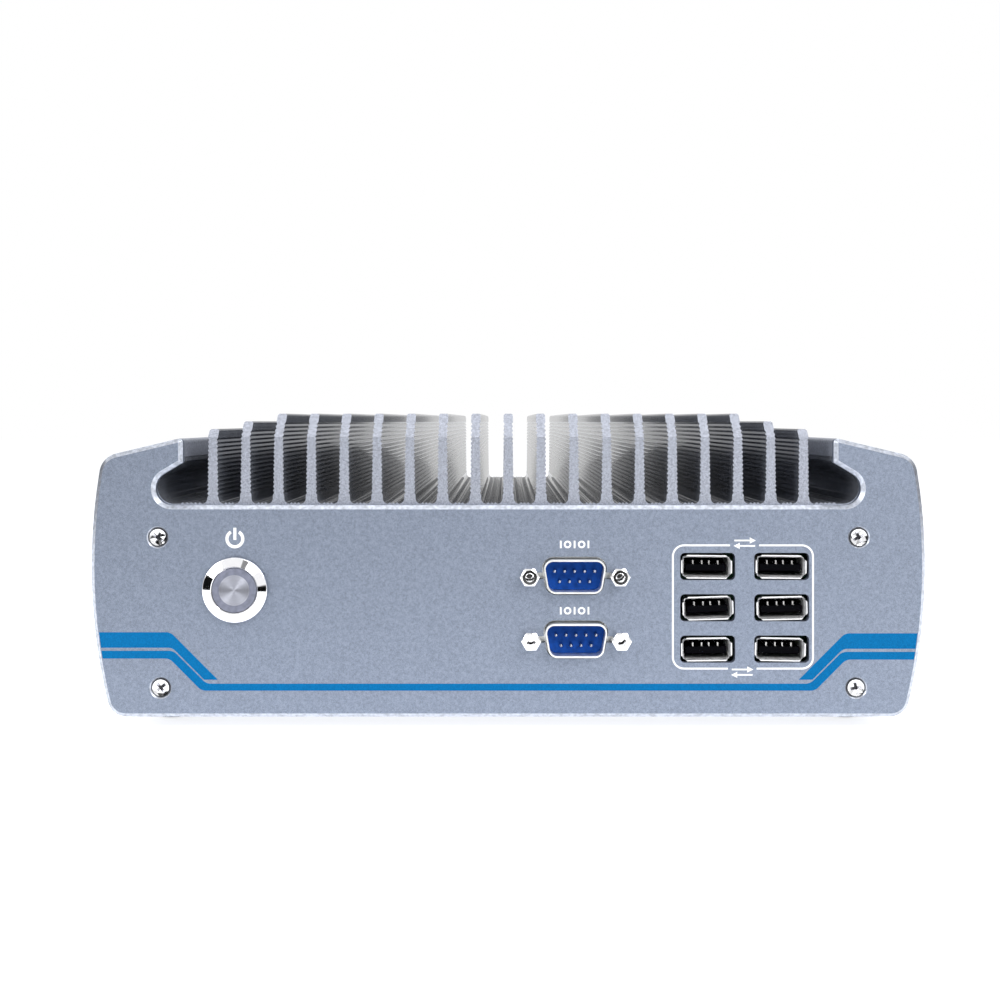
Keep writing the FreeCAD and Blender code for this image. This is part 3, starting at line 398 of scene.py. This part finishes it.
# --- End panels ------------------------------------------------------------------------
# Thick aluminium plates, blasted and anodised a bluish silver. Their rims are cut at 45
# degrees afterwards with a diamond tool, so the rim and the cut-outs' edges shine.

panel_finish = blasted_aluminium("panel_aluminium", (0.242, 0.278, 0.352), 0.5, 0.20)
tree = panel_finish.node_tree
slanted = joined(tree, "MULTIPLY", window(tree, facing(tree, "Y"), 0.60, 0.66),
                 window(tree, facing(tree, "Y"), 0.82, 0.76))
second_finish(panel_finish, slanted,
              two_tones(tree, grain_of(tree, 900.0, 3.0), (0.50, 0.53, 0.60), 0.22), 0.28)
dress("front_panel", panel_finish)
dress("rear_panel", panel_finish)


# --- Printed marks -----------------------------------------------------------------------
# Screen-printed ink on the front panel, a few hundredths of a millimetre thick: two blue
# bands that bend down from the sides, a frame round the sockets and small white signs.

panel_low, panel_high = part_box("front_panel")
ink_thickness = 0.03
ink_sink = 0.005


def on_panel(x, z, proud=0.0):
    """Point over the front panel's face: millimetres from its middle and its underside."""
    return Vector((x / 1000.0, panel_low.y - proud / 1000.0, panel_low.z + z / 1000.0))


def ink_finish(name, colour, spread, roughness, specular):
    """Screen ink with the faint grain of the metal under it."""
    finish, tree, surface = blank_finish(name)
    surface.inputs["Roughness"].default_value = roughness
    surface.inputs["Specular IOR Level"].default_value = specular
    grain = grain_of(tree, 3600.0, 3.0)
    wire(tree, two_tones(tree, grain, colour, spread), surface.inputs["Base Color"])
    bump_from(tree, surface, grain, 0.25, 0.03)
    return finish


def add_piece(name, mesh, body, finish):
    """Close a new piece, fix it to its body and give it a finish."""
    bmesh.ops.remove_doubles(mesh, verts=mesh.verts, dist=1e-7)
    bmesh.ops.recalc_face_normals(mesh, faces=mesh.faces)
    data = bpy.data.meshes.new(name)
    mesh.to_mesh(data)
    mesh.free()
    data.materials.append(finish)
    piece = bpy.data.objects.new(name, data)
    scene.collection.objects.link(piece)
    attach(piece, body)
    return piece


def ink_patch(mesh, corners, bends=()):
    """Filled outline of ink, rounded at the numbered corners."""
    others = set(mesh.faces)
    points = [mesh.verts.new(on_panel(x, z, -ink_sink)) for x, z in corners]
    mesh.faces.new(points)
    if bends:
        bmesh.ops.bevel(mesh, geom=[points[number] for number in bends], offset=0.0011,
                        offset_type="OFFSET", segments=4, profile=0.5, affect="VERTICES",
                        material=-1)
    (outline,) = [face for face in mesh.faces if face not in others]
    grown = bmesh.ops.extrude_face_region(mesh, geom=[outline])
    tops = [item for item in grown["geom"] if isinstance(item, bmesh.types.BMVert)]
    rise = Vector((0.0, -(ink_thickness + ink_sink) / 1000.0, 0.0))
    bmesh.ops.translate(mesh, verts=tops, vec=rise)


def ink_line(mesh, start, heading, width, moves):
    """A drawn line: each move is a straight length, or a turn's radius and degrees."""
    degrees_a_step = 9.0
    x, z = start
    angle = math.radians(heading)
    across = (-math.sin(angle) * width / 2.0, math.cos(angle) * width / 2.0)
    corners = [on_panel(x + side * across[0], z + side * across[1], proud)
               for side, proud in ((-1, -ink_sink), (1, -ink_sink),
                                   (1, ink_thickness), (-1, ink_thickness))]
    end = mesh.faces.new([mesh.verts.new(corner) for corner in corners])
    for move in moves:
        if isinstance(move, tuple):
            radius, degrees = move
            turn = math.radians(degrees)
            side = 1.0 if degrees > 0.0 else -1.0
            centre = (x - side * math.sin(angle) * radius, z + side * math.cos(angle) * radius)
            steps = max(2, round(abs(degrees) / degrees_a_step))
            spun = bmesh.ops.spin(mesh, geom=[end], cent=on_panel(*centre), axis=(0.0, -1.0, 0.0),
                                  angle=turn, steps=steps, use_merge=False)
            end = [item for item in spun["geom_last"] if isinstance(item, bmesh.types.BMFace)][0]
            angle += turn
            x = centre[0] + side * math.sin(angle) * radius
            z = centre[1] - side * math.cos(angle) * radius
        else:
            grown = bmesh.ops.extrude_face_region(mesh, geom=[end])["geom"]
            tops = [item for item in grown if isinstance(item, bmesh.types.BMVert)]
            step = (math.cos(angle) * move, math.sin(angle) * move)
            bmesh.ops.translate(mesh, verts=tops,
                                vec=Vector((step[0] / 1000.0, 0.0, step[1] / 1000.0)))
            end = [item for item in grown if isinstance(item, bmesh.types.BMFace)][0]
            x += step[0]
            z += step[1]


blue_ink = ink_finish("blue_ink", (0.003, 0.152, 0.385), 0.14, 0.5, 0.06)
white_ink = ink_finish("white_ink", (0.97, 0.97, 0.98), 0.02, 0.5, 0.5)

# Corners are in millimetres, for the right half. The bands lie a little lower on the right.
bands = bmesh.new()
right_drop = 0.3
for hand, drop in ((-1, 0.0), (1, right_drop)):
    upper_band = [(113.9, 23.7 - drop), (94.0 - drop, 23.7 - drop), (80.85, 10.5), (84.65, 10.5),
                  (93.5 - drop, 19.4 - drop), (113.35, 19.4 - drop)]
    ink_patch(bands, [(hand * x, z) for x, z in upper_band], (1, 4))
lower_band = []
for hand, drop in ((-1, 0.0), (1, right_drop)):
    half = [(84.0, 9.4), (93.2 - drop, 18.55 - drop), (113.25, 18.55 - drop),
            (112.9, 16.4 - drop), (94.3 - drop, 16.4 - drop), (85.4, 7.45)]
    lower_band += [(hand * x, z) for x, z in half[::-hand]]
ink_patch(bands, lower_band, (0, 1, 4, 5, 6, 7, 10, 11))
add_piece("print_blue_bands", bands, "case", blue_ink)

signs = bmesh.new()
# Standby sign over the switch: a ring open at the top and a bar in the gap.
sign_x, sign_z, sign_radius = -76.1, 49.7, 2.2
half_gap = 31.0
gap_angle = math.radians(half_gap)
ink_line(signs, (sign_x + sign_radius * math.sin(gap_angle), sign_z + sign_radius * math.cos(gap_angle)),
         -half_gap, 0.88, [(sign_radius, 2.0 * half_gap - 360.0)])
ink_line(signs, (sign_x, 49.4), 90.0, 0.84, [3.4])
# Frame round the six sockets, open in the middle of its top and bottom.
frame_left, frame_right, frame_bottom, frame_top = 45.8, 84.8, 13.6, 47.9
frame_line, frame_corner = 0.53, 3.1
for hand, edge_x, top_x, bottom_x in ((-1, frame_left, 61.7, 61.1), (1, frame_right, 69.8, 69.1)):
    ink_line(signs, (top_x, frame_top), 180.0 if hand < 0 else 0.0, frame_line,
             [abs(top_x - edge_x) - frame_corner, (frame_corner, -hand * 90.0),
              frame_top - frame_bottom - 2.0 * frame_corner, (frame_corner, -hand * 90.0),
              abs(bottom_x - edge_x) - frame_corner])
# A pair of opposed arrows in each opening of the frame.
arrow_tail, arrow_shaft, arrow_line = 2.9, 4.4, 0.45
arrow_tip, arrow_root, arrow_half = 3.1, 1.4, 0.85
for middle_x, middle_z in ((65.8, 48.5), (65.1, 12.6)):
    for hand, lift in ((1, 0.75), (-1, -0.75)):
        ink_line(signs, (middle_x - hand * arrow_tail, middle_z + lift), 0.0 if hand > 0 else 180.0,
                 arrow_line, [arrow_shaft])
        tip = middle_x + hand * arrow_tip
        root = middle_x + hand * arrow_root
        ink_patch(signs, [(tip, middle_z + lift), (root, middle_z + lift + arrow_half),
                          (root, middle_z + lift - arrow_half)][::hand])
# A row of bars and rings over each serial port.
mark_line, bar_height, ring_radius = 0.5, 2.1, 0.8
for middle_z in (48.15, 29.7):
    for x in (14.6, 18.45, 22.3):
        ink_line(signs, (x, middle_z - bar_height / 2.0), 90.0, mark_line, [bar_height])
    for x in (16.5, 20.4):
        ink_line(signs, (x, middle_z - ring_radius), 0.0, mark_line, [(ring_radius, 360.0)])
add_piece("print_white_signs", signs, "case", white_ink)


# --- Panel screws ------------------------------------------------------------------------
# M3 countersunk screws of nickel-plated steel with a cross recess, eight in all. They sit
# a little below the panels' faces, in sinks cut bright.


def separate_solids(node_name):
    """Lowest and highest corner of each solid in a carried-over piece."""
    mesh = bmesh.new()
    mesh.from_mesh(nodes[node_name].data)
    bmesh.ops.remove_doubles(mesh, verts=mesh.verts, dist=1e-6)
    left = set(mesh.verts)
    found = []
    while left:
        group = [left.pop()]
        for vert in group:
            for edge in vert.link_edges:
                other = edge.other_vert(vert)
                if other in left:
                    left.remove(other)
                    group.append(other)
        places = [vert.co for vert in group]
        low = Vector([min(place[axis] for place in places) for axis in range(3)])
        high = Vector([max(place[axis] for place in places) for axis in range(3)])
        found.append((low, high))
    mesh.free()
    return sorted(found, key=lambda pair: (round(pair[0].z, 4), round(pair[0].x, 4)))


def plated_metal(name, colour, roughness, wear=0.05, bump=0.1):
    """Bright metal, a little uneven in colour and gloss."""
    finish, tree, surface = blank_finish(name)
    surface.inputs["Metallic"].default_value = 1.0
    grain = grain_of(tree, 700.0, 4.0)
    wire(tree, two_tones(tree, grain, colour, wear), surface.inputs["Base Color"])
    wire(tree, scaled(tree, grain, 0.5 * roughness, 0.75 * roughness), surface.inputs["Roughness"])
    if bump:
        bump_from(tree, surface, grain, bump, 0.02)
    return finish


def turned(mesh, profile, centre_x, centre_z, steps):
    """Spin a profile of (radius, y) in metres about an axis along Y; returns its vertices."""
    before = set(mesh.verts)
    points = [mesh.verts.new((centre_x + radius, y, centre_z)) for radius, y in profile]
    edges = [mesh.edges.new(pair) for pair in zip(points[:-1], points[1:])]
    bmesh.ops.spin(mesh, geom=points + edges, cent=(centre_x, 0.0, centre_z),
                   axis=(0.0, 1.0, 0.0), angle=math.tau, steps=steps, use_merge=True)
    made = [vert for vert in mesh.verts if vert not in before]
    bmesh.ops.remove_doubles(mesh, verts=made, dist=1e-7)
    return [vert for vert in mesh.verts if vert not in before]


def cross_screw(mesh, low, high, outward, turn):
    """One countersunk screw filling the box of its solid; outward is -1 for the front."""
    groove = 0.00042
    bevel_out, bevel_down = 0.00012, 0.00015
    shank = 0.00145
    dish = 0.00016
    arm, half = 0.00165, 0.00042
    recess, narrowing = 0.0011, 0.45
    x = (low.x + high.x) / 2.0
    z = (low.z + high.z) / 2.0
    top, tip = (low.y, high.y) if outward < 0 else (high.y, low.y)
    inward = -outward
    lip = (high.x - low.x) / 2.0 - groove
    made = turned(mesh, [(lip, top), (lip + bevel_out, top + inward * bevel_down),
                         (shank, top + inward * (bevel_out + bevel_down + lip - shank)),
                         (shank, tip), (0.0, tip)], x, z, 32)
    for face in {face for vert in made for face in vert.link_faces}:
        face.material_index = 1
    rim = [edge for vert in made for edge in vert.link_edges
           if edge.is_boundary and all(abs(end.co.y - top) < 1e-6 for end in edge.verts)]
    outline = [(half, arm), (half, half), (arm, half), (arm, -half), (half, -half), (half, -arm),
               (-half, -arm), (-half, -half), (-arm, -half), (-arm, half), (-half, half), (-half, arm)]
    cosine, sine = math.cos(turn), math.sin(turn)
    corners = [mesh.verts.new((x + right * cosine - up * sine, top + inward * dish,
                               z + right * sine + up * cosine)) for right, up in outline]
    sides = [mesh.edges.new(pair) for pair in zip(corners, corners[1:] + corners[:1])]
    bmesh.ops.triangle_fill(mesh, use_beauty=True, edges=list(set(rim)) + sides)
    dropped = bmesh.ops.extrude_edge_only(mesh, edges=sides)["geom"]
    bottom = [item for item in dropped if isinstance(item, bmesh.types.BMVert)]
    bmesh.ops.translate(mesh, verts=bottom, vec=(0.0, inward * recess, 0.0))
    bmesh.ops.scale(mesh, verts=bottom, vec=(narrowing, 1.0, narrowing),
                    space=Matrix.Translation((-x, 0.0, -z)))
    floor = [item for item in dropped if isinstance(item, bmesh.types.BMEdge)]
    for face in bmesh.ops.triangle_fill(mesh, use_beauty=True, edges=floor)["geom"]:
        if isinstance(face, bmesh.types.BMFace):
            face.material_index = 1


# The second finish of each screw, dark steel on its side and in the bottom of its recess, is painted
# shade for the gap round the head and the depth of the recess.
screw_turns = (40.0, 12.0, 55.0, 25.0)
screw_shade = plated_metal("screw_shade", (0.05, 0.05, 0.055), 0.4, 0.05, 0.0)
screw_steel = plated_metal("screw_steel", (0.86, 0.86, 0.88), 0.12, 0.04, 0.0)
for node_name, outward in (("front_panel_screws", -1), ("rear_panel_screws", 1)):
    screws = bmesh.new()
    for count, (low, high) in enumerate(separate_solids(node_name)):
        cross_screw(screws, low, high, outward, math.radians(screw_turns[count]))
    piece = add_piece(node_name.replace("panel", "cross"), screws, "case", screw_steel)
    piece.data.materials.append(screw_shade)
    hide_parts(node_name)


# --- Feet --------------------------------------------------------------------------------
# Four moulded rubber feet glued under the base, one near each corner. The front ones just
# show below the panel's lower edge.


def moulded(name, colour, roughness, grain_scale, depth_mm, specular=0.4):
    """Rubber or plastic with the fine grain of its mould."""
    finish, tree, surface = blank_finish(name)
    surface.inputs["Roughness"].default_value = roughness
    surface.inputs["Specular IOR Level"].default_value = specular
    grain = grain_of(tree, grain_scale, 3.0)
    wire(tree, two_tones(tree, grain, colour, 0.15), surface.inputs["Base Color"])
    bump_from(tree, surface, grain, 0.3, depth_mm)
    return finish


black_rubber = moulded("black_rubber", (0.02, 0.02, 0.021), 0.75, 1500.0, 0.05)
for end in ("front", "rear"):
    for side in ("left", "right"):
        dress("foot_" + end + "_" + side, black_rubber)


# --- Power switch ------------------------------------------------------------------------
# A sealed metal push button: polished bezel and barrel, turned steel button in a milky
# light ring, rubber gasket behind the bezel, nut and contact block behind the panel.

dress("switch_bezel", plated_metal("switch_chrome", (0.93, 0.93, 0.95), 0.05, 0.01, 0.0))


def turned_face(name, colour, roughness, centre):
    """Metal faced on a lathe: grooves round its own axis, which stretch every highlight."""
    finish, tree, surface = blank_finish(name)
    surface.inputs["Metallic"].default_value = 1.0
    surface.inputs["Anisotropic"].default_value = 1.0
    surface.inputs["Anisotropic Rotation"].default_value = 0.25
    way = tree.nodes.new("ShaderNodeTangent")
    way.direction_type = "RADIAL"
    way.axis = "Y"
    wire(tree, way.outputs["Tangent"], surface.inputs["Tangent"])
    where = tree.nodes.new("ShaderNodeTexCoord")
    centred = tree.nodes.new("ShaderNodeMapping")
    centred.inputs["Location"].default_value = (-centre.x, 0.0, -centre.z)
    centred.inputs["Scale"].default_value = (1.0, 0.0, 1.0)
    wire(tree, where.outputs["Object"], centred.inputs["Vector"])
    reach = tree.nodes.new("ShaderNodeVectorMath")
    reach.operation = "LENGTH"
    wire(tree, centred.outputs["Vector"], reach.inputs[0])
    rings = tree.nodes.new("ShaderNodeTexNoise")
    rings.noise_dimensions = "1D"
    rings.inputs["Scale"].default_value = 6000.0
    wire(tree, reach.outputs["Value"], rings.inputs["W"])
    wire(tree, two_tones(tree, rings.outputs["Fac"], colour, 0.10), surface.inputs["Base Color"])
    wire(tree, scaled(tree, rings.outputs["Fac"], 0.3 * roughness, 0.85 * roughness),
         surface.inputs["Roughness"])
    return finish


button_low, button_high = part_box("switch_button")
turned_steel = turned_face("switch_steel", (0.44, 0.45, 0.51), 0.31, (button_low + button_high) / 2.0)
dress("switch_button", turned_steel)
dress("switch_light_ring", moulded("light_ring", (0.20, 0.21, 0.27), 0.35, 800.0, 0.01))
dress("switch_gasket", black_rubber)
plated_steel = plated_metal("plated_steel", (0.80, 0.79, 0.76), 0.16)
black_plastic = moulded("black_plastic", (0.006, 0.006, 0.008), 0.4, 1200.0, 0.02, 0.25)
dress("switch_nut", plated_steel)
dress("switch_contact_block", black_plastic)


# --- Serial ports ------------------------------------------------------------------------
# Nine-way ports: drawn steel shells, blue moulded insulators, round tinned pins with
# domed tips, and hexagonal studs with a tapped hole at each side. The same at the back.

port_steel = plated_metal("port_steel", (0.90, 0.90, 0.88), 0.42, 0.04, 0.05)
blue_plastic = moulded("blue_plastic", (0.005, 0.060, 0.33), 0.45, 700.0, 0.015, 0.12)
pin_metal = plated_metal("contact_brass", (0.34, 0.36, 0.44), 0.12, 0.03, 0.0)
for port in ("front_serial_{}_upper", "front_serial_{}_lower", "rear_serial_{}_left",
             "rear_serial_{}_right", "monitor_port_{}"):
    dress(port.format("shell"), port_steel)
    dress(port.format("insert"), blue_plastic)

pin_radius = 0.0005
for node_name, inward in (("front_serial_pins", 1.0), ("rear_serial_pins", -1.0)):
    pins = bmesh.new()
    for low, high in separate_solids(node_name):
        tip, root = (low.y, high.y) if inward > 0 else (high.y, low.y)
        turned(pins, [(0.0, tip), (0.0003, tip + inward * 0.0001), (0.00048, tip + inward * 0.0004),
                      (pin_radius, tip + inward * 0.0007), (pin_radius, root), (0.0, root)],
               (low.x + high.x) / 2.0, (low.z + high.z) / 2.0, 12)
    piece = add_piece(node_name.replace("pins", "round_pins"), pins, "case", pin_metal)
    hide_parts(node_name)

# Each tapped hole is lined with a grooved sleeve.
thread_turns, thread_start, thread_pitch = 6, 0.0003, 0.0006
thread_root, thread_crest = 0.00125, 0.00105
stud_steel = plated_metal("stud_steel", (0.86, 0.86, 0.87), 0.05, 0.04, 0.0)
for node_name, inward in (("front_serial_jackscrews", 1.0), ("rear_jackscrews", -1.0)):
    dress(node_name, stud_steel)
    threads = bmesh.new()
    for low, high in separate_solids(node_name):
        mouth = low.y if inward > 0 else high.y
        profile = []
        for turn in range(thread_turns):
            start = mouth + inward * (thread_start + turn * thread_pitch)
            profile += [(thread_root, start), (thread_crest, start + inward * thread_pitch / 2.0)]
        turned(threads, profile, (low.x + high.x) / 2.0, (low.z + high.z) / 2.0, 20)
    add_piece(node_name.replace("jackscrews", "stud_threads"), threads, "case", stud_steel)


# --- USB sockets ---------------------------------------------------------------------------
# Folded steel shells with a flared mouth, a black tongue inside and four plated contacts on
# it. They sit on a board of their own, and each stands a little askew.

contact_gilt = plated_metal("contact_gilt", (0.66, 0.65, 0.64), 0.3, 0.03, 0.0)
socket_steel = plated_metal("socket_steel", (0.95, 0.95, 0.95), 0.5, 0.03, 0.05)
socket_plastic = moulded("socket_plastic", (0.002, 0.002, 0.003), 0.5, 1200.0, 0.02, 0.02)
seat_rolls = (0.7, 0.7, -1.8, -1.4, -0.8, 1.2)
contact_places = (-3.5, -1.0, 1.0, 3.5)
contact_width = 0.00038
tongue_face = 0.00055
# Length, height and distance behind the mouth: a flat strip, and the hump that a plug meets.
contact_bars = ((0.0075, 0.00016, 0.0058), (0.0016, 0.0010, 0.0036))
contacts = bmesh.new()
for number, roll in enumerate(seat_rolls, start=1):
    dress("usb_shell_" + str(number), socket_steel)
    dress("usb_insert_" + str(number), socket_plastic)
    low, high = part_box("usb_shell_" + str(number))
    middle = (low + high) / 2.0
    turn = Matrix.Rotation(math.radians(roll), 4, "Y")
    for offset in contact_places:
        for length, height, back in contact_bars:
            bar = bmesh.ops.create_cube(contacts, size=1.0)["verts"]
            bmesh.ops.scale(contacts, vec=(contact_width, length, height), verts=bar)
            place = Vector((offset / 1000.0, low.y + back - middle.y, tongue_face + height / 2.0))
            bmesh.ops.translate(contacts, vec=place, verts=bar)
            bmesh.ops.transform(contacts, matrix=Matrix.Translation(middle) @ turn, verts=bar)
add_piece("usb_contacts", contacts, "case", contact_gilt)


# --- Rear ports ----------------------------------------------------------------------------
# Network and USB stacks in plated cans, a flat video port, audio jacks and the inlet for a
# two-way power plug, in a plain rear panel.

for place in ("network_stack_can_left", "network_stack_can_right", "digital_video_port"):
    dress(place, plated_steel)
for place in ("network_stack_insert_left", "network_stack_insert_right", "audio_jack_block",
              "power_inlet", "memory_socket"):
    dress(place, black_plastic)


# --- Inside --------------------------------------------------------------------------------
# Green glass-fibre boards, a black chip, a grey pad and a copper spreader under the slab,
# brass spacers, steel screws and a dark drive case on the floor.

board_laminate = moulded("board_laminate", (0.01, 0.09, 0.035), 0.35, 300.0, 0.02)
for place in ("motherboard", "memory_module", "usb_board"):
    dress(place, board_laminate)
spacer_brass = plated_metal("spacer_brass", (0.78, 0.60, 0.28), 0.25)
dress("usb_board_spacers", spacer_brass)
dress("motherboard_spacers", spacer_brass)
dress("motherboard_screws", screw_steel)
dress("processor", moulded("chip_plastic", (0.03, 0.03, 0.033), 0.5, 900.0, 0.01))
dress("thermal_pad", moulded("pad_rubber", (0.30, 0.33, 0.37), 0.85, 500.0, 0.05))
dress("heat_spreader", plated_metal("spreader_copper", (0.78, 0.40, 0.25), 0.3))
dress("solid_state_drive", moulded("drive_case", (0.04, 0.04, 0.045), 0.45, 1200.0, 0.02))
